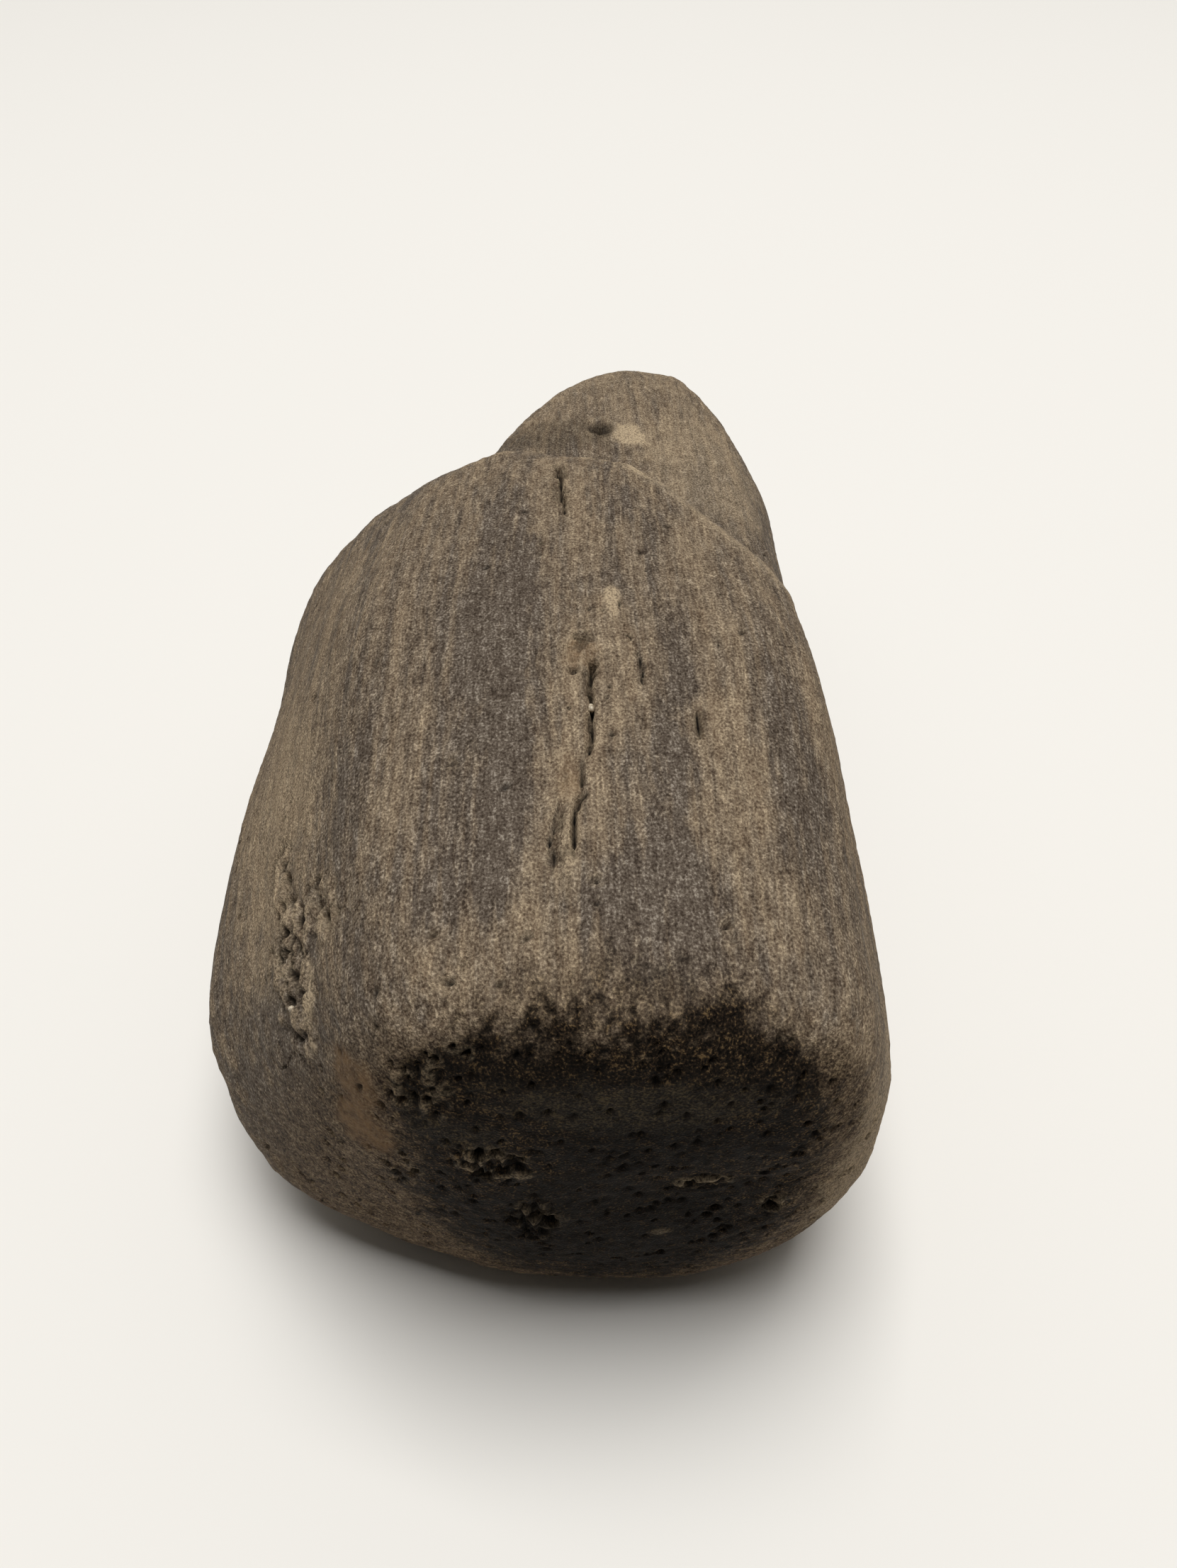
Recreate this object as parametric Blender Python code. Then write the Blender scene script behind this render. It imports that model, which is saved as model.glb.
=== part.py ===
"""A petrified wood specimen: one water-worn stone with its grain along Y, resting on a small flat spot."""

import bmesh
import bpy
from mathutils import Vector

MM = 0.001

# Driving dimensions, in metres.
WIDTH = 0.0515
LENGTH = 0.102
HEIGHT = 0.0405
REST_CUT = 0.0006
WEAR_CELL = 0.0024
WEAR_FACTOR = 0.5
WEAR_PASSES = 9
CLOSE_POINTS = 0.0001

# Corners of the main block before wear, in millimetres: x across, y along the grain, z up.
BLOCK_TOP = [
    (-7, -35, 37.5),
    (6, -36.6, 39.3),
    (20, -35.4, 36.7),
    (-10, -20, 39),
    (-12, 0, 39.8),
    (5, -5, 41.2),
    (21, -5, 38.6),
    (-10, 19.5, 37.8),
    (-2.5, 26.5, 39.4),
    (7.5, 23.8, 39.6),
    (15.5, 14.5, 38.6),
    (21.3, 9.5, 35.6),
]
BLOCK_SIDES = [
    (-23.4, -25.2, 14),
    (-26.2, -18.6, 16.5),
    (-26, -7, 18.5),
    (-25, 18, 19),
    (-23.5, 27, 21),
    (-21.6, 28.6, 25),
    (-17, 27.2, 30),
    (-11.3, 26.8, 33.2),
    (24.4, -31, 20),
    (26.1, -24.5, 18),
    (26.8, 0, 19),
    (24.8, 20, 18),
    (21.2, 28, 18),
    (-8, 35.4, 22),
]
BLOCK_FOOT = [
    (5, -37.6, 24),
    (-6, -36.2, 24),
    (18, -36.7, 24),
    (3.5, -35, 0.6),
    (-2.5, -34.3, 0.8),
    (9, -34.6, 0.9),
    (-9, -32, 1.2),
    (-14, -30.2, 2.8),
    (-20.6, -28.6, 6),
    (13.5, -34.9, 1.5),
    (18.5, -33.4, 3.4),
    (23, -32.2, 8),
    (24.8, -28.8, 12),
    (-21, -2, 5.5),
    (22, -2, 4),
    (-18, 22, 7),
    (21, 24, 5.5),
    (-11, -16, 0.9),
    (14, -17, 0.9),
    (-12, 18, 1.4),
    (15, 20, 1.0),
    (-5, -3, -0.3),
    (7, -4, -0.4),
    (-4, 12, -0.3),
    (8, 13, -0.4),
]

# Corners of the lower tail, which carries on behind the broken-off end of the block.
TAIL = [
    (22, 14, 30),
    (25, 18, 20),
    (23, 20, 6),
    (-7, 22, 31.5),
    (-14, 26, 20),
    (-8, 24, 4),
    (24, 40, 26.5),
    (25.5, 44, 17),
    (20, 44, 5),
    (6, 46, 3.5),
    (-4, 44, 30.5),
    (-8.5, 44, 17),
    (-5, 44, 8),
    (21.8, 58, 23.2),
    (17, 65, 27.8),
    (8.5, 65.5, 28.4),
    (1, 59, 27.4),
    (13, 66.5, 18),
    (5, 66, 19),
    (21, 59, 13),
    (-3.5, 58, 17),
    (13, 60, 9),
    (3, 58, 9),
]

# Shallow hollows worn into the stone: name, centre, reach in x, y and z, depth, in millimetres.
HOLLOWS = [
    ("hollow_under_the_end_ridge", (11, -37, 22), (12, 8, 6), 1.1),
    ("rough_patch_on_the_left", (-19, -19, 24), (7, 11, 8), 0.9),
    ("waist_on_the_left", (-25, 8, 22), (8, 12, 14), 0.8),
    ("notch_low_on_the_left", (-25, -23, 13), (4, 5, 4), 0.6),
    ("notch_on_the_right_edge", (26.5, -28, 17), (4, 4, 4), 0.5),
    ("notch_low_on_the_right", (25.5, -31, 10), (4, 5, 3), 0.6),
    ("trough_along_the_crack", (4, -14, 40), (5, 14, 6), 0.7),
    ("dip_behind_the_step", (5, 34, 31), (8, 6, 6), 1.2),
]


def clear_scene():
    for thing in list(bpy.data.objects):
        bpy.data.objects.remove(thing, do_unlink=True)


def mesh_object(name, form):
    mesh = bpy.data.meshes.new(name)
    form.to_mesh(mesh)
    form.free()
    body = bpy.data.objects.new(name, mesh)
    bpy.context.scene.collection.objects.link(body)
    return body


def hull_object(name, corners):
    """A closed convex body round the given corners."""
    form = bmesh.new()
    for corner in corners:
        form.verts.new(Vector(corner) * MM)
    hull = bmesh.ops.convex_hull(form, input=form.verts)
    buried = [item for item in hull["geom_interior"] if isinstance(item, bmesh.types.BMVert)]
    bmesh.ops.delete(form, geom=buried, context="VERTS")
    bmesh.ops.recalc_face_normals(form, faces=form.faces)
    return mesh_object(name, form)


def broken_stone():
    """The stone as it broke, with sharp edges: the block joined to its tail."""
    stone = hull_object("broken_stone", BLOCK_TOP + BLOCK_SIDES + BLOCK_FOOT)
    tail = hull_object("tail_form", TAIL)
    tail.hide_render = True
    tail.display_type = "WIRE"
    join = stone.modifiers.new("join_tail", "BOOLEAN")
    join.operation = "UNION"
    join.solver = "EXACT"
    join.object = tail
    return stone


def wear_down(stone):
    """Rounds every edge as water does, and returns the worn form as an editable mesh."""
    cells = stone.modifiers.new("wear_cells", "REMESH")
    cells.mode = "VOXEL"
    cells.voxel_size = WEAR_CELL
    wear = stone.modifiers.new("wear_edges", "SMOOTH")
    wear.factor = WEAR_FACTOR
    wear.iterations = WEAR_PASSES
    graph = bpy.context.evaluated_depsgraph_get()
    form = bmesh.new()
    form.from_object(stone, graph)
    stone.hide_render = True
    stone.display_type = "WIRE"
    return form


def press_hollows(form):
    """Pushes the surface in at each hollow, deepest at its centre and fading to nothing at its reach."""
    form.normal_update()
    shifts = {vert: Vector() for vert in form.verts}
    for _, centre, reach, depth in HOLLOWS:
        for vert in form.verts:
            away = [(vert.co[i] / MM - centre[i]) / reach[i] for i in range(3)]
            share = max(0.0, 1.0 - Vector(away).length_squared)
            shifts[vert] -= vert.normal * share * share * depth * MM
    for vert, shift in shifts.items():
        vert.co += shift


def fit_to_size(form):
    """Scales the form to the driving dimensions, with the middle of its base at the origin."""
    low = Vector([min(vert.co[i] for vert in form.verts) for i in range(3)])
    high = Vector([max(vert.co[i] for vert in form.verts) for i in range(3)])
    size = (WIDTH, LENGTH, HEIGHT + REST_CUT)
    base = Vector(((low.x + high.x) / 2, (low.y + high.y) / 2, low.z))
    for vert in form.verts:
        offset = vert.co - base
        vert.co = Vector([offset[i] * size[i] / (high[i] - low[i]) for i in range(3)])


def cut_rest_spot(form):
    """Takes the lowest skin off flat, so that the stone stands on a small level spot at z = 0."""
    for vert in form.verts:
        vert.co.z -= REST_CUT
    everything = form.verts[:] + form.edges[:] + form.faces[:]
    level = {"plane_co": (0, 0, 0), "plane_no": (0, 0, 1)}
    cut = bmesh.ops.bisect_plane(form, geom=everything, clear_inner=True, **level)
    rim = [item for item in cut["geom_cut"] if isinstance(item, bmesh.types.BMEdge)]
    bmesh.ops.edgeloop_fill(form, edges=rim)
    bmesh.ops.remove_doubles(form, verts=form.verts, dist=CLOSE_POINTS)
    bmesh.ops.triangulate(form, faces=form.faces)
    bmesh.ops.recalc_face_normals(form, faces=form.faces)


def stone_material():
    material = bpy.data.materials.new("petrified_wood")
    material.use_nodes = True
    surface = material.node_tree.nodes["Principled BSDF"]
    surface.inputs["Base Color"].default_value = (0.105, 0.082, 0.060, 1.0)
    surface.inputs["Roughness"].default_value = 0.85
    surface.inputs["Metallic"].default_value = 0.0
    return material


def main():
    clear_scene()
    form = wear_down(broken_stone())
    press_hollows(form)
    fit_to_size(form)
    cut_rest_spot(form)
    stone = mesh_object("petrified_wood_stone", form)
    stone.data.materials.append(stone_material())
    stone.data.shade_smooth()


main()
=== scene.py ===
# %% [markdown]
# # A piece of petrified wood
#
# This lesson dresses one water-worn piece of petrified wood. The packed
# stone gives the true size and form, with every edge already rounded. What
# it lacks is everything smaller than a couple of millimetres: the fine
# grain that was once wood, cracks that opened along it, pores in the cut
# end, crusts and grit. Each step below adds one of those.

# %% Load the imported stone
import math

import bmesh
import bpy
import numpy as np
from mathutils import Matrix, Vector, noise
from mathutils.kdtree import KDTree


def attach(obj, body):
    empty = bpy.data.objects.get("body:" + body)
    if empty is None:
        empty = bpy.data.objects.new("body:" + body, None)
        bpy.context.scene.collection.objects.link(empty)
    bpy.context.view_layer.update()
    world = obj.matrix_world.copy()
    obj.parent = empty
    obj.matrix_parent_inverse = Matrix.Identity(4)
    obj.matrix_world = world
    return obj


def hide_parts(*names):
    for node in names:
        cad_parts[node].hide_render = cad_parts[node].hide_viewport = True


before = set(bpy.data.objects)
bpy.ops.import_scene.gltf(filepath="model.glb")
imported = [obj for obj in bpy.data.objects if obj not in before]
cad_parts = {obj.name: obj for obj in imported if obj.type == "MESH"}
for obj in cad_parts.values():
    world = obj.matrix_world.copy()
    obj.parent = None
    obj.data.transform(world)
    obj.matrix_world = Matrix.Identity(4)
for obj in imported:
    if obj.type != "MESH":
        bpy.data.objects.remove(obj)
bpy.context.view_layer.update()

MM = 0.001
NODE = "petrified_wood_stone"

# %% [markdown]
# ## A finer skin for the stone
#
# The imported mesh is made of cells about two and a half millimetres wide,
# far too coarse for wood grain. It could be cut up by hand, or carry the
# grain as bump alone, but bump never breaks the outline of a stone. So the
# skin is rebuilt: a voxel remesh gives even square cells, a little
# smoothing takes out the old facets, and two rounds of subdivision leave
# cells of half a millimetre that real grooves and pits can be pressed into.

# %% Rebuild the skin with small even cells
SKIN_CELL = 2.0 * MM
SKIN_SMOOTHING = 2
SKIN_ROUNDS = 2


def fine_skin(source):
    """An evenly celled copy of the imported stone, as a new mesh."""
    copy = bpy.data.objects.new("skin_source", source.data.copy())
    bpy.context.scene.collection.objects.link(copy)
    form = bmesh.new()
    form.from_mesh(copy.data)
    bmesh.ops.remove_doubles(form, verts=form.verts, dist=0.01 * MM)
    form.to_mesh(copy.data)
    form.free()
    cells = copy.modifiers.new("cells", "REMESH")
    cells.mode = "VOXEL"
    cells.voxel_size = SKIN_CELL
    smooth = copy.modifiers.new("smooth", "SMOOTH")
    smooth.factor = 0.5
    smooth.iterations = SKIN_SMOOTHING
    divide = copy.modifiers.new("divide", "SUBSURF")
    divide.levels = SKIN_ROUNDS
    divide.render_levels = SKIN_ROUNDS
    graph = bpy.context.evaluated_depsgraph_get()
    mesh = bpy.data.meshes.new_from_object(copy.evaluated_get(graph))
    bpy.data.objects.remove(copy)
    return mesh


skin = fine_skin(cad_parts[NODE])
print("skin cells:", len(skin.polygons))

# %% [markdown]
# ## More cells where the detail is
#
# Cracks and pores are narrower than the cells. Making every cell smaller
# would quadruple the mesh, so only three places are divided once more: the
# strip round the long crack, the blunt end, and the pitted patch on the
# left flank.

# %% Divide the busy places once more
BUSY_PLACES = {
    # name: (centre, reach in x, y and z), in millimetres like every place below
    "along the cracks": ((4.0, -15.0, 40.0), (5.0, 27.0, 6.0)),
    "blunt end": ((4.5, -51.0, 25.0), (16.0, 6.0, 18.0)),
    "pitted left flank": ((-14.5, -38.0, 31.0), (6.5, 11.0, 8.0)),
}


def divide_busy_places(mesh):
    """Cuts each cell whose middle lies in a busy place into four."""
    form = bmesh.new()
    form.from_mesh(mesh)
    centres = np.array([face.calc_center_median() for face in form.faces]) / MM
    chosen = np.zeros(len(centres), bool)
    for centre, reach in BUSY_PLACES.values():
        chosen |= (((centres - centre) / reach) ** 2).sum(1) < 1.0
    edges = {edge for face, take in zip(form.faces, chosen) if take for edge in face.edges}
    edges = sorted(edges, key=lambda edge: edge.index)
    bmesh.ops.subdivide_edges(form, edges=edges, cuts=1, use_grid_fill=True, smooth=0.0)
    form.to_mesh(mesh)
    form.free()


divide_busy_places(skin)
skin.calc_loop_triangles()
print("skin triangles:", len(skin.loop_triangles))


# %% Read the skin's points as numbers in millimetres
def read_points(mesh):
    """Point positions in millimetres and the outward direction at each."""
    count = len(mesh.vertices)
    place = np.empty(count * 3)
    mesh.vertices.foreach_get("co", place)
    facing = np.empty(count * 3)
    mesh.vertex_normals.foreach_get("vector", facing)
    return place.reshape(-1, 3) / MM, facing.reshape(-1, 3)


place, facing = read_points(skin)
print("points:", len(place))


# %% A soft step from one value to another
def fade(value, start, end):
    """0 at start and 1 at end, with a soft turn at both."""
    share = np.clip((value - start) / (end - start), 0.0, 1.0)
    return share * share * (3.0 - 2.0 * share)


print("a quarter of the way:", fade(0.25, 0.0, 1.0))

# %% [markdown]
# ## Side grain and end grain
#
# Petrified wood keeps the build of the tree. Along the grain the surface
# shows long fine streaks; across it, on the blunt end, the cut vessels
# show as round pores. Everything later depends on which of the two a point
# is on, so that comes first, from how much the skin faces along Y.

# %% Tell end grain from side grain
NEAR_END = place[:, 1].min()
end_grain = fade(-facing[:, 1], 0.45, 0.9) * fade(place[:, 1], NEAR_END + 12.0, NEAR_END + 5.0)
far_end = fade(facing[:, 1], 0.5, 0.9)
side_grain = 1.0 - np.maximum(end_grain, far_end * 0.7)
print("share of end grain:", round(float(end_grain.mean()), 3))

# %% [markdown]
# ## Edges worn by tumbling
#
# Where the stone is most rounded outwards it has been knocked the most,
# and the skin there is pale and rough. Smoothing a copy of the points pulls
# outward edges in and hollows out, so the distance each point was pulled
# says how sharp an edge it is on.

# %% Find each point's neighbours
ends = np.empty(len(skin.edges) * 2, int)
skin.edges.foreach_get("vertices", ends)
ends = ends.reshape(-1, 2)
neighbours = np.bincount(ends.ravel(), minlength=len(place)).astype(float)
print("edges:", len(ends))

# %% Measure how much each point stands out
WEAR_STEPS = 60


def spread(values, steps):
    """Each point's values averaged again and again with its neighbours'."""
    values = values.copy()
    for _ in range(steps):
        total = np.zeros_like(values)
        for axis in range(values.shape[1]):
            total[:, axis] = np.bincount(ends[:, 0], values[ends[:, 1], axis], len(values))
            total[:, axis] += np.bincount(ends[:, 1], values[ends[:, 0], axis], len(values))
        values = 0.5 * values + 0.5 * total / neighbours[:, None]
    return values


pulled = ((place - spread(place, WEAR_STEPS)) * facing).sum(1)
edge_wear = fade(pulled, 0.10, 0.32)
print("share of worn edge:", round(float(edge_wear.mean()), 3))

# %% [markdown]
# ## Grain and hollows from noise
#
# A noise that is stretched a lot along Y and little across it gives long
# low ridges like wood grain. A second one, with round lumps, gives the
# gentle hollows that water and sand leave.


# %% Noise with lumps of a chosen size
def noise_at(points, size, offset=0.0, octaves=3):
    """Noise of about -1 to 1; size is the lump size in millimetres along x, y and z."""
    shifted = points / np.asarray(size) + offset
    return np.array([noise.fractal(Vector(p), 1.0, 2.0, octaves) for p in shifted])


lumps = noise_at(place, (11.0, 17.0, 11.0), 3.1, 2)
print("worn lumps from", round(float(lumps.min()), 2), "to", round(float(lumps.max()), 2))

# %% Raise the grain ridges and the worn lumps
ridges = noise_at(place, (1.2, 20.0, 1.2), 7.7, 3)
broad_ridges = noise_at(place, (4.2, 38.0, 4.2), 1.9, 2)
grit = noise_at(place, (0.7, 0.9, 0.7), 5.3, 2)
LUMP_HEIGHT = 0.25
RIDGE_HEIGHT = 0.07
BROAD_RIDGE_HEIGHT = 0.2
GRIT_HEIGHT = 0.07
along_grain = side_grain * (ridges * RIDGE_HEIGHT + broad_ridges * BROAD_RIDGE_HEIGHT)
lift = lumps * LUMP_HEIGHT + along_grain + grit * GRIT_HEIGHT
print("lift in mm:", round(float(lift.min()), 2), "to", round(float(lift.max()), 2))

# %% [markdown]
# ## Cracks
#
# Drying and pressure opened cracks along the grain before the wood turned
# to stone. Each is a broken line a few tenths of a millimetre wide. They
# could be cut with boolean wedges, but a crack here never has straight
# walls, so the skin is pressed in along the line instead. A wandering
# offset from noise keeps the line from looking ruled.

# %% Where the cracks run on the top
TOP_CRACKS = {
    # name: (half width, depth, points along it)
    "upper crack": (0.26, 0.9, [(1.5, 8.0, 38.6), (1.8, 5.0, 39.4), (2.1, 1.7, 39.6), (2.4, -2.4, 39.8)]),
    "crack mouth": (0.24, 0.9, [(4.0, -20.4, 40.1), (3.9, -22.5, 40.0), (4.0, -24.4, 39.8)]),
    "long crack, far half": (0.23, 1.1, [(4.0, -23.2, 39.9), (3.9, -25.7, 39.7), (3.9, -28.6, 39.4)]),
    "long crack, bend": (0.25, 1.2, [(3.9, -28.4, 39.4), (3.2, -29.8, 39.3), (3.2, -32.3, 39.3)]),
    "long crack, near half": (0.21, 1.0, [(3.2, -32.0, 39.3), (2.7, -35.1, 39.3), (2.7, -37.9, 39.3)]),
    "side branch": (0.17, 0.6, [(1.7, -33.4, 39.3), (1.4, -36.4, 39.3), (1.7, -39.4, 39.3)]),
    "curved lip": (
        0.15, 0.3, [(6.4, -17.2, 40.4), (7.1, -19.0, 40.3), (7.5, -20.9, 40.2), (7.4, -24.0, 40.0)],
    ),
    "flake edge": (0.14, 0.3, [(6.2, -13.0, 40.2), (6.3, -15.4, 40.4)]),
    "right crack": (0.18, 0.4, [(11.0, -24.6, 39.4), (10.9, -28.2, 39.3)]),
    "right edge crack": (0.20, 0.5, [(19.2, -17.6, 37.6), (18.7, -22.0, 37.8), (19.0, -26.2, 37.3)]),
    "far right streak": (0.14, 0.2, [(13.2, -14.0, 39.3), (13.1, -18.5, 39.3)]),
}
print("cracks on the top:", len(TOP_CRACKS))

# %% Where they run on the left flank and the end
OTHER_CRACKS = {
    "left crack": (0.16, 0.4, [(-13.7, -43.0, 30.0), (-14.6, -43.4, 28.2), (-16.8, -42.8, 24.0)]),
    "left short crack": (0.17, 0.4, [(-12.5, -44.8, 31.2), (-12.0, -46.0, 29.9)]),
    "end crust crack": (0.22, 0.5, [(-0.7, -50.5, 21.4), (-1.0, -50.2, 18.2), (-0.5, -49.9, 14.6)]),
    "chip edge": (0.16, 0.5, [(8.9, -50.3, 24.0), (10.3, -50.2, 24.2), (12.0, -50.0, 23.8)]),
    "chip corner": (0.16, 0.4, [(8.8, -50.3, 24.0), (9.0, -50.0, 21.0)]),
}
print("cracks on the flank and the end:", len(OTHER_CRACKS))


# %% How far a point is from a crack's line
def near_line(points, line):
    """How far each point is from the broken line, and its place along it from 0 to 1."""
    best = np.full(len(points), 1e9)
    along = np.zeros(len(points))
    line = np.array(line, float)
    steps = np.linalg.norm(np.diff(line, axis=0), axis=1)
    done = 0.0
    for start, end, length in zip(line[:-1], line[1:], steps):
        share = np.clip(((points - start) @ (end - start)) / length**2, 0.0, 1.0)
        away = np.linalg.norm(points - (start + share[:, None] * (end - start)), axis=1)
        closer = away < best
        best[closer] = away[closer]
        along[closer] = (done + share[closer] * length) / steps.sum()
        done += length
    return best, along


CRACK_WANDER = 0.18
wander = np.stack([noise_at(place, (0.9, 1.6, 0.9), start, 2) for start in (11.0, 23.0, 37.0)], 1)
print("cracks wander by up to", round(float(np.abs(wander).max() * CRACK_WANDER), 2), "mm")

# %% Press in the cracks
# Each point also keeps how near the line is, fading to 0 at this many half widths.
CRACK_REACH = 4.0
# Dirt and painted shade: where cracks, pits and pores are pressed in, the material darkens the skin.
dirt_and_shade = np.zeros(len(place))
crack_side = np.zeros(len(place))
crack_line = np.zeros(len(place))
for width, depth, line in [*TOP_CRACKS.values(), *OTHER_CRACKS.values()]:
    away, along = near_line(place + wander * CRACK_WANDER, line)
    taper = np.clip(4.0 * along * (1.0 - along), 0.0, 1.0) ** 0.35
    breadth = width * (0.55 + 0.45 * taper)
    cut = fade(away, breadth, breadth * 0.25) * (0.35 + 0.65 * taper)
    lift -= cut * depth
    dirt_and_shade = np.maximum(dirt_and_shade, cut)
    crack_side = np.maximum(crack_side, fade(away, 2.2, 0.4) * (0.4 + 0.6 * taper))
    crack_line = np.maximum(crack_line, 1.0 - away / (breadth * CRACK_REACH))
print("share beside a crack:", round(float((crack_side > 0.3).mean()), 3))

# %% [markdown]
# ## Pits, pores and crusts
#
# Some pits are big enough to know one by one: the hollows where the long
# crack begins, the cavities on the left flank, the torn places on the end.
# The rest are the cut ends of vessels, scattered over the end grain and
# the rough edge above it.

# %% The larger pits on the top and behind the step
TOP_PITS = [
    # (centre), radius, depth
    ((3.3, -18.2, 40.4), 0.55, 0.8),
    ((4.2, -21.0, 40.2), 0.60, 0.9),
    ((2.8, -21.7, 40.1), 0.45, 0.6),
    ((-4.9, -29.5, 39.4), 0.40, 0.7),
    ((3.9, -39.3, 39.3), 0.40, 0.7),
    ((-3.7, -44.5, 38.3), 0.45, 0.8),
    ((11.4, -42.0, 38.4), 0.38, 0.7),
    ((11.5, -43.0, 38.2), 0.35, 0.6),
    ((0.0, -42.9, 38.9), 0.38, 0.5),
    ((-4.3, -45.3, 38.0), 0.42, 0.6),
    ((1.7, 6.4, 39.0), 0.45, 0.8),
    ((2.2, 0.6, 39.7), 0.40, 0.8),
    ((6.1, 30.4, 29.3), 1.7, 1.3),
]
print("pits on the top:", len(TOP_PITS))

# %% The cavities on the left flank
FLANK_PITS = [
    ((-16.3, -37.8, 29.1), 1.35, 1.4),
    ((-17.6, -35.8, 27.5), 0.8, 0.9),
    ((-14.8, -40.9, 29.9), 1.2, 1.3),
    ((-12.6, -38.4, 34.3), 1.1, 1.1),
    ((-13.9, -34.9, 33.6), 0.75, 0.8),
    ((-18.0, -29.4, 29.0), 0.7, 0.9),
    ((-16.6, -32.1, 30.5), 0.9, 0.9),
    ((-11.6, -38.4, 35.5), 0.45, 0.6),
]
print("cavities on the left flank:", len(FLANK_PITS))

# %% The pits on the blunt end
END_PITS = [
    ((-7.2, -48.8, 31.5), 0.55, 1.0),
    ((-5.0, -48.5, 35.2), 0.35, 0.6),
    ((-4.1, -48.3, 36.1), 0.35, 0.6),
    ((-3.3, -48.6, 35.9), 0.35, 0.6),
    ((-5.5, -48.8, 34.2), 0.30, 0.5),
    ((-5.3, -49.1, 33.1), 0.30, 0.5),
    ((-4.5, -49.3, 33.4), 0.30, 0.5),
    ((-5.7, -49.2, 32.2), 0.35, 0.6),
    ((-7.9, -49.0, 24.9), 0.35, 0.6),
    ((-7.8, -49.1, 24.1), 0.35, 0.6),
    ((-7.4, -49.3, 23.1), 0.40, 0.6),
    ((-3.1, -50.2, 27.4), 0.50, 0.9),
    ((-2.1, -50.3, 27.8), 0.55, 1.0),
    ((-0.9, -50.5, 27.3), 0.45, 0.8),
    ((-2.8, -50.3, 24.9), 0.40, 0.7),
    ((0.3, -50.4, 18.9), 1.10, 0.9),
    ((15.0, -49.6, 19.7), 0.50, 0.6),
    ((15.1, -49.7, 18.4), 0.50, 0.6),
]
print("pits on the blunt end:", len(END_PITS))

# %% Press in the larger pits
RIM_LIFT = 0.10
crust = np.zeros(len(place))
# Each bowl is also darkened as dirt and painted shade; its rim is kept as crust.
for centre, radius, depth in TOP_PITS + FLANK_PITS + END_PITS:
    away = np.linalg.norm(place + wander * 0.6 * radius - centre, axis=1) / radius
    bowl = fade(away, 1.0, 0.25)
    rim = fade(away, 1.7, 1.15) * fade(away, 0.75, 1.1)
    lift += rim * RIM_LIFT * radius - bowl * depth
    dirt_and_shade = np.maximum(dirt_and_shade, bowl)
    crust = np.maximum(crust, rim * 0.25)
print("share in a pit:", round(float((dirt_and_shade > 0.3).mean()), 3))

# %% Choose where the vessel pores open
PORE_COUNT = 420
PORE_SEED = 12
PORES_ANYWHERE = 0.06
PORES_ON_EDGE = 0.55
PORES_BY_CRACK = 0.25
front_edge = edge_wear * fade(place[:, 1], -38.0, -45.0)
chance = PORES_ANYWHERE + 1.0 * end_grain + PORES_ON_EDGE * front_edge + PORES_BY_CRACK * crack_side
chance *= fade(facing[:, 2], -0.95, -0.6)
picker = np.random.default_rng(PORE_SEED)
odds = np.cumsum(chance)
picks = np.searchsorted(odds, picker.random(PORE_COUNT) * odds[-1])
print("pores on the end:", int((end_grain[picks] > 0.5).sum()))

# %% Press in the vessel pores
PORE_SPREAD = 1.3
nearby = KDTree(len(place))
for index, spot in enumerate(place):
    nearby.insert(spot, index)
nearby.balance()
# Each pore is also darkened as dirt and painted shade.
for pick in picks:
    radius = picker.uniform(0.16, 0.3)
    depth = picker.uniform(0.15, 0.4)
    for _, index, away in nearby.find_range(place[pick], radius * PORE_SPREAD):
        bowl = max(0.0, 1.0 - (away / (radius * PORE_SPREAD)) ** 2) ** 1.5
        lift[index] -= bowl * depth
        dirt_and_shade[index] = max(dirt_and_shade[index], bowl)
print("pores pressed in:", PORE_COUNT)

# %% [markdown]
# ## The broken-off step
#
# A slab split away from the far end, so the block stops at a step and a
# lower tail carries on behind it. Its rim is painted pale as a painted
# highlight, its foot is darkened with painted shade, and the hole there holds
# dirt and painted shade. The rim runs slantwise across the stone, so it
# is a line too, and the skin is raised a little along it.

# %% Sharpen the rim of the step and paint a highlight along it
STEP_LIFT = 0.18
STEP_RIM = [
    (-8.6, 12.5, 37.4), (-3.8, 11.0, 38.2), (1.5, 11.5, 38.2), (6.6, 9.0, 38.3), (10.5, 4.6, 38.0),
]
STEP_SHOULDER = [(10.5, 4.6, 38.0), (13.8, -0.1, 38.0), (17.2, -4.2, 37.1), (19.6, -7.5, 36.0)]
# Painted highlight: a pale strip along the rim of the step.
rim_highlight = np.zeros(len(place))
for line, strength in ((STEP_RIM, 0.75), (STEP_SHOULDER, 0.5)):
    away, along = near_line(place + wander * 0.5, line)
    lift += fade(away, 2.4, 0.4) * STEP_LIFT
    rim_highlight = np.maximum(rim_highlight, fade(away, 1.3, 0.3) * strength)
print("share of pale rim:", round(float((rim_highlight > 0.2).mean()), 4))
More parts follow.
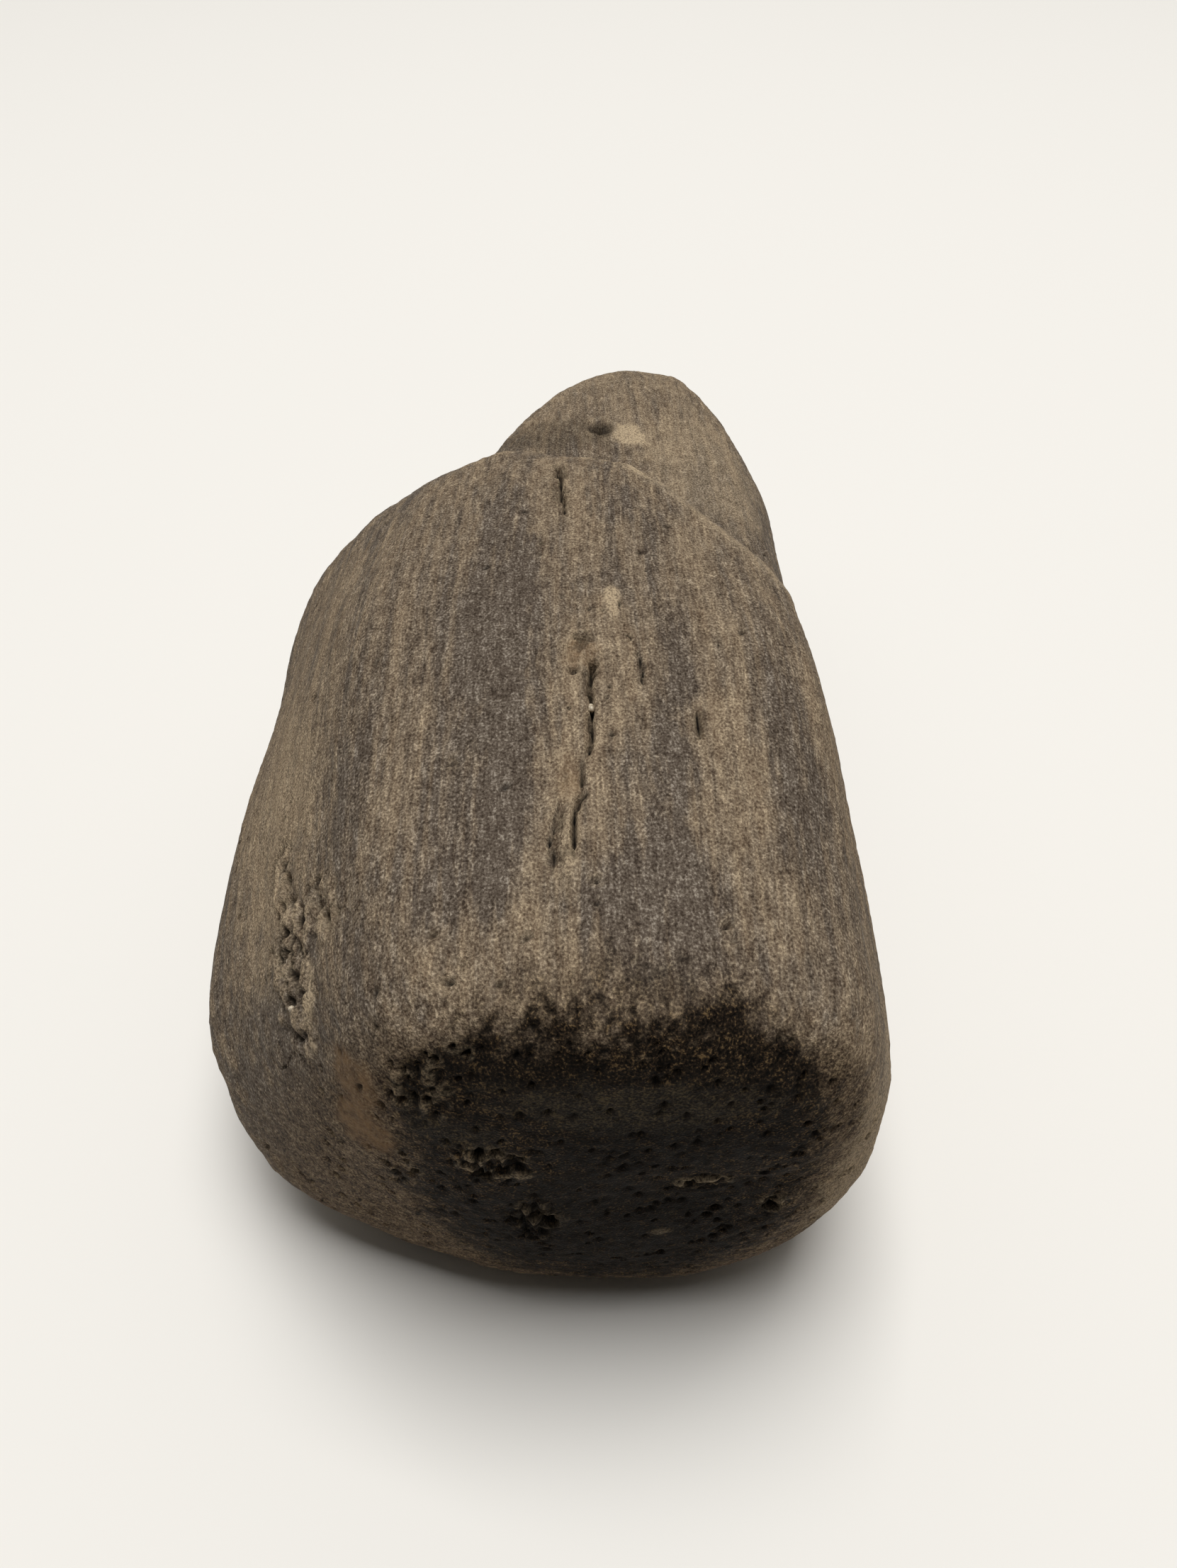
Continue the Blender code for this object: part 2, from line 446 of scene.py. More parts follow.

# %% [markdown]
# ## Painted zones
#
# Colour on this stone follows how it wore: grey and smooth where it is
# polished, tan and gritty where the skin has broken, near black where iron
# and manganese stained the cut end, rust where iron gathered. Some zones are
# painted light and shade instead: painted shade in hollows and at the foot
# of the step, a painted highlight on the step's rim, painted bounce light on
# the lower right, and a painted sheen on the polished end. A texture
# could be painted by hand, but each zone is simple, so it is an oval of
# skin with a soft, ragged edge, kept as a number on every point for the
# material to read.

# %% Tan: where the polished skin has broken, and on the lower right side painted bounce light too
TAN = [
    # (centre), (reach in x, y, z), strength
    ((4.4, -21.0, 40.0), (3.2, 9.0, 5.0), 1.0),
    ((2.6, -33.5, 39.3), (2.4, 8.0, 4.0), 0.9),
    ((-0.5, -44.5, 38.0), (5.5, 5.0, 6.0), 0.9),
    ((7.0, -48.0, 38.0), (14.0, 2.6, 3.0), 0.3),
    ((12.4, -32.0, 38.7), (3.2, 12.0, 5.0), 0.85),
    ((14.0, -40.5, 38.0), (4.5, 4.5, 5.0), 0.4),
    ((22.0, -14.0, 30.0), (5.0, 28.0, 14.0), 0.7),
    ((-8.2, -30.0, 38.0), (1.8, 12.0, 4.0), 0.7),
    ((-13.0, -14.0, 36.0), (3.0, 16.0, 6.0), 0.45),
    ((0.4, 3.0, 39.3), (1.8, 6.0, 4.0), 0.9),
    ((7.0, 5.0, 39.0), (1.5, 3.0, 3.0), 0.8),
    ((-6.0, 6.0, 38.5), (3.0, 8.0, 4.0), 0.6),
    ((-17.0, -34.0, 27.0), (3.0, 4.0, 4.0), 0.5),
    ((9.8, -50.0, 22.6), (1.9, 2.5, 1.4), 0.9),
    ((-17.0, -12.0, 28.0), (8.0, 28.0, 12.0), 0.6),
    ((10.0, 40.0, 26.0), (18.0, 22.0, 14.0), 0.6),
    # Lower right side: partly lighter tan skin, partly painted light bounced from the card.
    ((22.0, -32.0, 15.0), (7.0, 24.0, 14.0), 1.0),
    ((19.0, -47.5, 26.0), (4.0, 5.0, 12.0), 0.9),
    ((-20.0, -36.0, 12.0), (8.0, 10.0, 9.0), 0.2),
    ((3.0, 2.0, 39.0), (24.0, 18.0, 7.0), 0.4),
    ((-19.0, -18.0, 27.0), (8.0, 22.0, 12.0), 0.8),
]
print("tan ovals:", len(TAN))

# %% Stain and painted shade: the stained cut end, and painted shade in its hollows, over its lower part and at the foot of the step
STAIN = [
    ((4.6, -50.5, 22.0), (13.2, 13.0, 18.8), 1.0),
    ((-2.2, -50.0, 31.0), (6.0, 6.5, 6.4), 1.0),
    ((9.6, -50.0, 30.0), (7.6, 10.0, 9.4), 1.0),
]
# Painted shade: near-black ovals where shade falls, in the end's hollows under its top edge, over its lower
# part, in the hole behind the step and along the step's foot.
PAINTED_SHADE = [
    ((8.0, -51.0, 28.4), (9.5, 4.0, 3.6), 0.8),
    ((4.5, -51.0, 17.0), (12.0, 7.0, 11.0), 0.9),
    ((6.1, 30.2, 29.4), (1.8, 2.4, 1.6), 0.9),
    ((0.5, 29.0, 29.6), (8.0, 4.5, 2.6), 0.5),
    ((1.0, -49.5, 35.5), (7.0, 3.0, 1.6), 0.4),
]
print("stain and dusk ovals:", len(STAIN) + len(PAINTED_SHADE))

# %% Polish: grey skin still whole
POLISH = [
    ((-1.3, -33.0, 39.5), (2.4, 11.0, 4.0), 1.0),
    ((7.8, -40.5, 39.0), (5.2, 6.5, 4.0), 1.0),
    ((9.2, -30.0, 39.5), (1.8, 5.0, 3.0), 0.8),
    ((-2.5, -12.0, 40.0), (3.2, 24.0, 5.0), 0.8),
    ((6.0, 2.0, 39.5), (3.0, 7.0, 4.0), 0.7),
    # On the end this polish lightens the stain as a painted sheen, here on the ridge under the top edge.
    ((6.0, -50.5, 33.0), (10.0, 4.0, 2.6), 0.8),
    ((-15.0, -44.5, 22.0), (9.0, 9.0, 11.0), 0.7),
    ((-12.0, -20.0, 36.5), (2.0, 14.0, 5.0), 0.6),
    ((17.5, -30.0, 38.0), (2.0, 14.0, 4.0), 0.6),
    # On the end: lightens the stain as a painted sheen.
    ((-4.5, -50.0, 29.5), (4.0, 3.0, 1.8), 0.6),
]
print("polish ovals:", len(POLISH))

# %% Rust spots, pale crusts, and pale painted bounce light on the lower right side
RUST = [
    ((-10.2, -47.4, 30.6), (2.2, 3.0, 2.4), 0.9),
    ((-10.2, -47.8, 26.5), (2.4, 3.0, 3.4), 1.0),
    ((3.4, -19.8, 40.2), (1.4, 1.8, 2.0), 0.6),
    ((2.5, -31.5, 39.3), (0.9, 2.4, 2.0), 0.5),
    ((7.4, 8.4, 38.4), (0.9, 1.2, 1.5), 0.8),
]
PALE = [
    ((5.7, -14.0, 40.3), (0.7, 2.1, 2.0), 1.0),
    ((9.0, 29.5, 29.3), (2.4, 3.0, 2.0), 1.4),
    ((8.9, 7.4, 38.3), (2.0, 1.8, 1.5), 1.3),
    ((-13.6, -41.6, 31.2), (0.55, 3.4, 2.2), 0.9),
    ((9.0, -50.2, 23.2), (0.6, 2.0, 1.3), 0.9),
    ((10.5, -50.2, 23.6), (1.9, 2.0, 0.5), 0.7),
    ((8.1, -50.3, 16.4), (0.9, 2.0, 0.5), 0.7),
    ((-0.7, -50.5, 25.2), (0.9, 2.0, 0.4), 0.5),
    ((2.3, -36.4, 39.3), (0.5, 2.8, 2.0), 0.6),
    ((17.0, 24.0, 28.5), (8.0, 16.0, 6.0), 0.32),
    ((5.0, 46.0, 27.0), (12.0, 14.0, 7.0), 0.15),
    ((-17.5, -26.0, 27.0), (7.0, 14.0, 10.0), 0.3),
    # Partly pale skin, partly painted light bounced from the card on the lower right side.
    ((21.5, -44.0, 18.0), (5.0, 9.0, 14.0), 0.55),
]
print("rust and pale ovals:", len(RUST) + len(PALE))

# %% Torn places: crumbled skin with dirt and painted shade between the lumps
TORN = [
    ((-15.6, -37.6, 30.2), (3.6, 5.4, 4.2), 1.0),
    ((-14.4, -42.0, 30.0), (1.8, 4.0, 3.0), 0.9),
    ((-17.6, -31.0, 29.4), (2.2, 4.0, 2.4), 0.8),
    ((-12.6, -37.0, 34.2), (1.6, 3.0, 2.0), 0.8),
    ((-2.4, -50.2, 26.4), (2.8, 3.0, 2.2), 0.9),
    ((-0.2, -50.2, 18.4), (1.9, 3.0, 4.0), 0.9),
    ((-6.4, -49.0, 33.0), (2.6, 3.0, 3.4), 0.45),
    ((15.0, -49.6, 19.0), (1.2, 2.0, 1.6), 0.8),
    ((10.3, -50.2, 23.0), (2.2, 2.0, 1.2), 0.7),
    ((3.4, -20.0, 40.2), (2.2, 3.4, 3.0), 0.5),
    ((2.2, -35.5, 39.3), (1.3, 5.0, 3.0), 0.45),
    ((1.9, 3.0, 39.4), (1.0, 6.0, 3.0), 0.45),
]
print("torn ovals:", len(TORN))

# %% Paint the zones on to the points
# Where an oval's edge begins, where it is full and how ragged it is, as shares of its reach.
SOFT_EDGE = (1.05, 0.55, 0.30)
FIRM_EDGE = (1.13, 0.83, 0.11)
FINE_RAGGEDNESS = 0.12
ZONES = {
    "tan": TAN, "stain": STAIN, "polish": POLISH, "rust": RUST, "torn": TORN, "painted_shade": PAINTED_SHADE, "pale_crust_and_highlight": PALE,
}
ragged = noise_at(place, (1.6, 2.6, 1.6), 17.0, 3)
ragged_fine = noise_at(place, (0.5, 0.8, 0.5), 29.0, 2)
painted = {}
for name, ovals in ZONES.items():
    layer = np.zeros(len(place))
    outer, inner, raggedness = FIRM_EDGE if name == "stain" else SOFT_EDGE
    for centre, reach, strength in ovals:
        away = np.sqrt((((place - centre) / reach) ** 2).sum(1))
        away += ragged * raggedness + ragged_fine * FINE_RAGGEDNESS
        layer = np.maximum(layer, strength * fade(away, outer, inner))
    painted[name] = layer
    print(name, "covers", round(float((layer > 0.3).mean()), 3))

# %% Let cracks, crusts and the painted highlight on the step's rim change the zones
CRUST_HEIGHT = 0.10
MOST_PALE = 1.2
painted["tan"] = np.clip(painted["tan"] + crack_side * 0.5, 0.0, 1.0)
# The pale layer holds the crusts and the painted highlight along the step's rim.
painted["pale_crust_and_highlight"] = np.clip(np.maximum.reduce([painted["pale_crust_and_highlight"], crust, rim_highlight]), 0.0, MOST_PALE)
lift += painted["pale_crust_and_highlight"] * CRUST_HEIGHT
print("palest point:", round(float(painted["pale_crust_and_highlight"].max()), 2))

# %% Crumble the torn places
CRUMB_HEIGHT = 0.8
crumbs = noise_at(place, (0.7, 1.5, 0.95), 41.0, 4)
torn = painted.pop("torn")
lift += torn * (np.clip(crumbs, -0.6, 0.3) - 0.1) * CRUMB_HEIGHT
# The low places between the crumbs are darkened as dirt and painted shade.
dirt_and_shade = np.maximum(dirt_and_shade, torn * fade(crumbs, -0.08, -0.32))
painted["pale_crust_and_highlight"] = np.maximum(painted["pale_crust_and_highlight"], torn * fade(crumbs, 0.12, 0.36) * 0.7)
print("share torn:", round(float((torn > 0.3).mean()), 3))

# %% Put the skin's shape together
# Nothing may dip below the table, so the lowest points are held at its height.
worn = place + facing * lift[:, None]
worn[:, 2] = np.maximum(worn[:, 2], 0.0)
skin.vertices.foreach_set("co", (worn * MM).ravel())
skin.update()
print("lift in mm:", round(float(lift.min()), 2), "to", round(float(lift.max()), 2))

# %% [markdown]
# ## The stone as a piece
#
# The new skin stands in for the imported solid, which stays underneath for
# weight and contact. The numbers worked out so far go with it as named
# layers on its points.

# %% Make the visual stone
stone = bpy.data.objects.new("worn_stone", skin)
bpy.context.scene.collection.objects.link(stone)
skin.shade_smooth()
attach(stone, "root")
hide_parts(NODE)
print("stone piece:", stone.name)

# %% Keep the zones as layers on its points
painted["end_grain"] = end_grain
painted["edge_wear"] = edge_wear
# Dirt and painted shade go to the material as one layer.
painted["dirt_and_shade"] = dirt_and_shade
painted["crack_line"] = crack_line
for name, values in painted.items():
    layer = skin.attributes.new(name, "FLOAT", "POINT")
    layer.data.foreach_set("value", values.astype(np.float32))
print("layers:", ", ".join(painted))

# %% [markdown]
# ## Sand lodged in the long crack
#
# River sand is still caught in the crack's mouth and in the cavities. One
# grain catches the light. Each is a small ball with its points pushed in
# and out, since a rolled grain of quartz has no flat faces left.

# %% Shape the grains
GRAINS = [
    # (place), (half size in x, y, z)
    ((3.95, -24.9, 39.45), (0.26, 0.34, 0.22)),
    ((3.60, -23.9, 39.40), (0.15, 0.20, 0.13)),
    ((-15.1, -41.2, 29.2), (0.22, 0.20, 0.24)),
    ((-16.0, -37.3, 28.7), (0.18, 0.24, 0.20)),
]
sand_form = bmesh.new()
for number, (centre, half) in enumerate(GRAINS):
    ball = bmesh.ops.create_icosphere(sand_form, subdivisions=2, radius=1.0)["verts"]
    for point in ball:
        bulge = 1.0 + 0.25 * noise.noise(point.co * 1.3 + Vector((number * 7.0, 0.0, 0.0)))
        point.co = Vector([(centre[i] + point.co[i] * half[i] * bulge) * MM for i in range(3)])
print("sand grains:", len(GRAINS))

# %% Make the sand one piece
sand_mesh = bpy.data.meshes.new("lodged_sand")
sand_form.to_mesh(sand_mesh)
sand_form.free()
sand_mesh.shade_smooth()
sand = bpy.data.objects.new("lodged_sand", sand_mesh)
bpy.context.scene.collection.objects.link(sand)
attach(sand, "root")
print("sand triangles:", len(sand_mesh.polygons))

# %% [markdown]
# ## The stone's material
#
# Petrified wood is wood replaced, cell by cell, by quartz and iron oxides,
# then rolled in a river until it is dull. So it is no metal, it bends light
# as quartz does, and its finish is dry and rough with only a faint sheen on
# the polished grey. The eye gets three sizes of colour change from it: broad
# bands and streaks along the old grain, clumps a millimetre wide, and a
# sandy speckle. The node graph below builds them in that order.


# %% Colours by their sRGB codes
def linear(code):
    """Linear red, green, blue and alpha of an sRGB hex colour."""
    parts = [int(code[i : i + 2], 16) / 255.0 for i in (1, 3, 5)]
    return tuple(c / 12.92 if c <= 0.04045 else ((c + 0.055) / 1.055) ** 2.4 for c in parts) + (1.0,)


print("mid grey is", round(linear("#808080")[0], 3))


# %% One function that adds a node
def add_node(tree, kind, settings=None, links=None, stops=()):
    """Adds a node, sets its properties and inputs, links outputs to its inputs and fills its ramp."""
    node = tree.nodes.new(kind)
    for key, value in (settings or {}).items():
        if isinstance(key, str) and hasattr(node, key):
            setattr(node, key, value)
        else:
            node.inputs[key].default_value = value
    for key, source in (links or {}).items():
        tree.links.new(source, node.inputs[key])
    for number, (where, code) in enumerate(stops):
        points = node.color_ramp.elements
        point = points[number] if number < 2 else points.new(where)
        point.position = where
        point.color = linear(code)
    return node


# %% Start the petrified wood
wood = bpy.data.materials.new("petrified_wood_river_worn")
wood.use_nodes = True
tree = wood.node_tree
tree.nodes.clear()
spot = add_node(tree, "ShaderNodeTexCoord").outputs["Object"]
on_skin = {}
for name in painted:
    on_skin[name] = add_node(tree, "ShaderNodeAttribute", {"attribute_name": name}).outputs["Fac"]
print("layers read:", len(on_skin))

# %% Bend the grain
# Wood fibres wander a little, so the place is shifted before they are drawn.
BEND_SIZE = (7.0, 24.0, 7.0)
BEND_BY = 1.6
per_metre = [1.0 / (side * MM) for side in BEND_SIZE]
sized = add_node(tree, "ShaderNodeMapping", {"Scale": per_metre}, {"Vector": spot})
bend = add_node(tree, "ShaderNodeTexNoise", {"Scale": 1.0, "Detail": 1.0}, {"Vector": sized.outputs[0]})
shift = {"operation": "MULTIPLY_ADD", 1: (BEND_BY * MM,) * 3}
bent = add_node(tree, "ShaderNodeVectorMath", shift, {0: bend.outputs["Color"], 2: spot}).outputs[0]
print("grain bends by up to", BEND_BY, "mm")

# %% Draw the grain at each size
# Real fibres are 0.03 mm wide: these are drawn eight times that, to show.
LUMPS = {
    # name: ((size along x, y, z in mm), detail, where it is drawn)
    "fibre": ((0.24, 4.0, 0.24), 3.0, bent),
    "streak": ((0.75, 15.0, 0.75), 3.0, bent),
    "band": ((3.2, 30.0, 3.2), 2.0, bent),
    "grit": ((0.16, 0.20, 0.16), 2.0, spot),
    "clump": ((0.65, 1.1, 0.65), 3.0, spot),
}
lump = {}
for name, (size, detail, source) in LUMPS.items():
    per_metre = [1.0 / (side * MM) for side in size]
    sized = add_node(tree, "ShaderNodeMapping", {"Scale": per_metre}, {"Vector": source})
    settings = {"Scale": 1.0, "Detail": detail, "Roughness": 0.6}
    lump[name] = add_node(tree, "ShaderNodeTexNoise", settings, {"Vector": sized.outputs[0]}).outputs["Fac"]
print("grain sizes:", ", ".join(lump))

# %% Cut vessels: pores on the end, short slits along the sides
VESSEL_SIZE = (1.15, 6.0, 1.15)
per_metre = [1.0 / (side * MM) for side in VESSEL_SIZE]
sized = add_node(tree, "ShaderNodeMapping", {"Scale": per_metre}, {"Vector": bent})
vessels = add_node(tree, "ShaderNodeTexVoronoi", {"Scale": 1.0}, {"Vector": sized.outputs[0]})
chance = add_node(tree, "ShaderNodeSeparateColor", {}, {0: vessels.outputs["Color"]}).outputs[0]
pick = {"From Min": 0.35, "From Max": 1.0, "To Min": -0.1, "To Max": 0.14}
width = add_node(tree, "ShaderNodeMapRange", pick, {"Value": chance}).outputs["Result"]
gap = {0: vessels.outputs["Distance"], 1: width}
gap = add_node(tree, "ShaderNodeMath", {"operation": "SUBTRACT"}, gap).outputs[0]
settings = {"From Min": 0.07, "From Max": 0.0}
pore = add_node(tree, "ShaderNodeMapRange", settings, {"Value": gap}).outputs["Result"]
print("vessels every", VESSEL_SIZE[0], "mm")

# %% How broken the skin is
# Bands, streaks and clumps decide, and the painted zones lean on them. The
# grit in the sum makes the border between grey and tan a scatter of grains.
trio = {"X": lump["band"], "Y": lump["streak"], "Z": lump["clump"]}
trio = add_node(tree, "ShaderNodeCombineXYZ", {}, trio).outputs[0]
weights = {"operation": "DOT_PRODUCT", 1: (0.65, 1.15, 0.2)}
drawn = add_node(tree, "ShaderNodeVectorMath", weights, {0: trio}).outputs["Value"]
trio = {"X": on_skin["tan"], "Y": on_skin["polish"], "Z": on_skin["edge_wear"]}
trio = add_node(tree, "ShaderNodeCombineXYZ", {}, trio).outputs[0]
TAN_LEAN = 0.26
POLISH_LEAN = -0.3
weights = {"operation": "DOT_PRODUCT", 1: (TAN_LEAN, POLISH_LEAN, 0.05)}
leaning = add_node(tree, "ShaderNodeVectorMath", weights, {0: trio}).outputs["Value"]
trio = {"X": drawn, "Y": leaning, "Z": lump["grit"]}
trio = add_node(tree, "ShaderNodeCombineXYZ", {}, trio).outputs[0]
weights = {"operation": "DOT_PRODUCT", 1: (1.0, 1.0, 0.3)}
breakage = add_node(tree, "ShaderNodeVectorMath", weights, {0: trio}).outputs["Value"]
settings = {"From Min": 1.0, "From Max": 1.48}
broken = add_node(tree, "ShaderNodeMapRange", settings, {"Value": breakage}).outputs["Result"]
print("the polish outweighs the tan by", round(-POLISH_LEAN / TAN_LEAN, 2))

# %% Speckle along the grain and across it
GRIT_ALONG = 0.55
GRIT_ACROSS = 0.64
trio = {"X": lump["grit"], "Y": lump["fibre"], "Z": lump["clump"]}
trio = add_node(tree, "ShaderNodeCombineXYZ", {}, trio).outputs[0]
weights = {"operation": "DOT_PRODUCT", 1: (GRIT_ALONG, 0.22, 0.23)}
along_speckle = add_node(tree, "ShaderNodeVectorMath", weights, {0: trio}).outputs["Value"]
weights = {"operation": "DOT_PRODUCT", 1: (GRIT_ACROSS, 0.0, 0.36)}
across_speckle = add_node(tree, "ShaderNodeVectorMath", weights, {0: trio}).outputs["Value"]
print("grit share:", GRIT_ALONG, "along the grain and", GRIT_ACROSS, "across it")

# %% Side colours: whole grey skin and broken tan skin
GREY_SKIN = [
    (0.37, "#332a22"), (0.421, "#453b31"), (0.468, "#54493f"), (0.5, "#5c5247"),
    (0.534, "#675c50"), (0.578, "#7d7266"), (0.623, "#978d7f"),
]
TAN_SKIN = [
    (0.326, "#4a3b2e"), (0.394, "#675644"), (0.456, "#7c6a57"), (0.5, "#8a7963"),
    (0.545, "#9a8870"), (0.605, "#b19e83"), (0.666, "#d2bc9e"),
]
grey_skin = add_node(tree, "ShaderNodeValToRGB", {}, {"Fac": along_speckle}, GREY_SKIN)
tan_skin = add_node(tree, "ShaderNodeValToRGB", {}, {"Fac": along_speckle}, TAN_SKIN)
print("grey", GREY_SKIN[3][1], "and tan", TAN_SKIN[3][1])

# %% End colours: bare, stained, and stained but polished, which is lighter and greyer as a painted sheen
END_SKIN = [(0.38, "#2a2018"), (0.44, "#43362a"), (0.5, "#5d4e3d"), (0.56, "#72614d"), (0.64, "#978367")]
STAINED_SKIN = [
    (0.38, "#080604"), (0.44, "#140f0a"), (0.5, "#201912"), (0.56, "#33281d"), (0.64, "#655238"),
]
STAIN_WITH_PAINTED_SHEEN = [(0.4, "#1d1813"), (0.5, "#2f2820"), (0.6, "#48402f")]
end_skin = add_node(tree, "ShaderNodeValToRGB", {}, {"Fac": across_speckle}, END_SKIN)
stained_skin = add_node(tree, "ShaderNodeValToRGB", {}, {"Fac": across_speckle}, STAINED_SKIN)
stain_with_painted_sheen = add_node(tree, "ShaderNodeValToRGB", {}, {"Fac": across_speckle}, STAIN_WITH_PAINTED_SHEEN)
print("bare end", END_SKIN[2][1], "and stained", STAINED_SKIN[2][1])

# %% Mix the side and the end
# In a colour mix the share is input 0, the two colours are 6 and 7, and the result is output 2.
COLOURS = {"data_type": "RGBA"}
mix = {0: broken, 6: grey_skin.outputs[0], 7: tan_skin.outputs[0]}
side = add_node(tree, "ShaderNodeMix", COLOURS, mix).outputs[2]
mix = {0: on_skin["stain"], 6: end_skin.outputs[0], 7: stained_skin.outputs[0]}
across = add_node(tree, "ShaderNodeMix", COLOURS, mix).outputs[2]
# Where the end is polished the stain turns lighter and greyer: painted sheen.
both = {0: on_skin["polish"], 1: on_skin["stain"]}
share = add_node(tree, "ShaderNodeMath", {"operation": "MULTIPLY"}, both).outputs[0]
mix = {0: share, 6: across, 7: stain_with_painted_sheen.outputs[0]}
across = add_node(tree, "ShaderNodeMix", COLOURS, mix).outputs[2]
either = {0: on_skin["end_grain"], 1: on_skin["stain"]}
share = add_node(tree, "ShaderNodeMath", {"operation": "MAXIMUM"}, either).outputs[0]
mix = {0: share, 6: side, 7: across}
colour = add_node(tree, "ShaderNodeMix", COLOURS, mix).outputs[2]
print("base colours mixed")

# %% How far the pores show
# A little over half on the end, and half as much as that where the sides are broken.
PORES_ON_END = 0.6
PORES_ON_SIDES = 0.3
trio = {"X": on_skin["end_grain"], "Y": broken}
trio = add_node(tree, "ShaderNodeCombineXYZ", {}, trio).outputs[0]
weights = {"operation": "DOT_PRODUCT", 1: (PORES_ON_END, PORES_ON_SIDES, 0.0)}
pore_share = add_node(tree, "ShaderNodeVectorMath", weights, {0: trio}).outputs["Value"]
open_pore = add_node(tree, "ShaderNodeMath", {"operation": "MULTIPLY"}, {0: pore, 1: pore_share}).outputs[0]
print("pores show on the end by", PORES_ON_END, "and on broken sides by", PORES_ON_SIDES)

# %% Sharp cracks
# The skin's points are wider apart than a crack, so each point only knows
# how near the line is, and the dark line itself is drawn here.
CRACK_EDGE = 0.76
CRACK_MIDDLE = 0.9
settings = {"From Min": CRACK_EDGE, "From Max": CRACK_MIDDLE}
in_crack = add_node(tree, "ShaderNodeMapRange", settings, {"Value": on_skin["crack_line"]}).outputs["Result"]
half_drawn = (1.0 - (CRACK_EDGE + CRACK_MIDDLE) / 2) * CRACK_REACH
print("a crack is drawn", round(half_drawn, 2), "times as wide as it is cut")

# %% Lay rust, pale crust and painted highlight, painted shade, pores, and dirt with painted shade over the base
OVERLAYS = [
    # (name, where it lies, noise that breaks it up, share at low and at high noise, colour)
    ("rust", on_skin["rust"], lump["clump"], 0.35, 0.8, "#7d6245"),
    # Pale crust, with a painted highlight along the step's rim and painted bounce light on the lower right
    # side.
    ("crust", on_skin["pale_crust_and_highlight"], lump["grit"], 0.25, 0.9, "#c2ad8e"),
    # Painted shade: near black over the ovals of painted shade.
    ("painted_shade", on_skin["painted_shade"], lump["clump"], 0.6, 0.75, "#0f0c09"),
    ("pore", open_pore, lump["grit"], 0.9, 1.0, "#0d0a07"),
    ("crack", in_crack, lump["clump"], 0.35, 1.0, "#0c0a07"),
    # Dirt and painted shade: near black in cracks, pits, pores and between crumbs.
    ("dirt_and_shade", on_skin["dirt_and_shade"], lump["grit"], 0.8, 0.95, "#0a0806"),
]
for name, where, speckle, low, high, code in OVERLAYS:
    settings = {"From Min": 0.38, "From Max": 0.6, "To Min": low, "To Max": high}
    patchy = add_node(tree, "ShaderNodeMapRange", settings, {"Value": speckle}).outputs["Result"]
    share = add_node(tree, "ShaderNodeMath", {"operation": "MULTIPLY"}, {0: where, 1: patchy}).outputs[0]
    mix = {0: share, 6: colour}
    colour = add_node(tree, "ShaderNodeMix", {**COLOURS, 7: linear(code)}, mix).outputs[2]
    print("laid over:", name)

# %% Fine relief and finish
GRAIN_HEIGHT = 0.16
rough_places = {0: broken, 1: on_skin["end_grain"]}
rough_places = add_node(tree, "ShaderNodeMath", {"operation": "MAXIMUM"}, rough_places).outputs[0]
settings = {"To Min": 0.35, "To Max": 1.0}
gritty = add_node(tree, "ShaderNodeMapRange", settings, {"Value": rough_places}).outputs["Result"]
raised = add_node(tree, "ShaderNodeMath", {"operation": "MULTIPLY"}, {0: lump["grit"], 1: gritty}).outputs[0]
trio = {"X": raised, "Y": lump["fibre"], "Z": open_pore}
trio = add_node(tree, "ShaderNodeCombineXYZ", {}, trio).outputs[0]
weights = {"operation": "DOT_PRODUCT", 1: (1.0, 0.2, -1.0)}
relief = add_node(tree, "ShaderNodeVectorMath", weights, {0: trio}).outputs["Value"]
settings = {"Strength": 1.0, "Distance": GRAIN_HEIGHT * MM}
bump = add_node(tree, "ShaderNodeBump", settings, {"Height": relief})
settings = {"To Min": 0.68, "To Max": 0.9}
finish = add_node(tree, "ShaderNodeMapRange", settings, {"Value": broken}).outputs["Result"]
print("grains stand", GRAIN_HEIGHT, "mm high")

# %% Put it on the stone
# Quartz has an index of 1.54; weathering leaves only a trace of its sheen.
QUARTZ_IOR = 1.54
SHEEN_LEFT = 0.06
body = {"IOR": QUARTZ_IOR, "Specular IOR Level": SHEEN_LEFT}
links = {"Base Color": colour, "Normal": bump.outputs["Normal"], "Roughness": finish}
surface = add_node(tree, "ShaderNodeBsdfPrincipled", body, links)
add_node(tree, "ShaderNodeOutputMaterial", {}, {"Surface": surface.outputs[0]})
skin.materials.clear()
skin.materials.append(wood)
print("nodes in the stone's material:", len(tree.nodes))

# %% [markdown]
# ## The sand's material
#
# The grains are quartz sand, frosted by rolling: milky, pale, and a little
# shinier than the stone, which is why one of them catches the eye. A faint
# cloudiness half a grain wide is all the pattern they have.

# %% Frosted quartz sand
quartz = bpy.data.materials.new("frosted_quartz_sand")
quartz.use_nodes = True
grains = quartz.node_tree
grains.nodes.clear()
CLOUD_SIZE = 0.2
spot = add_node(grains, "ShaderNodeTexCoord").outputs["Object"]
settings = {"Scale": 1.0 / (CLOUD_SIZE * MM), "Detail": 2.0}
cloud = add_node(grains, "ShaderNodeTexNoise", settings, {"Vector": spot})
SAND = [(0.35, "#8c7d68"), (0.5, "#b5a68e"), (0.65, "#d9ccb4")]
milky = add_node(grains, "ShaderNodeValToRGB", {}, {"Fac": cloud.outputs["Fac"]}, SAND)
settings = {"Strength": 0.6, "Distance": 0.03 * MM}
frost = add_node(grains, "ShaderNodeBump", settings, {"Height": cloud.outputs["Fac"]})
body = {"IOR": QUARTZ_IOR, "Roughness": 0.5}
links = {"Base Color": milky.outputs[0], "Normal": frost.outputs["Normal"]}
surface = add_node(grains, "ShaderNodeBsdfPrincipled", body, links)
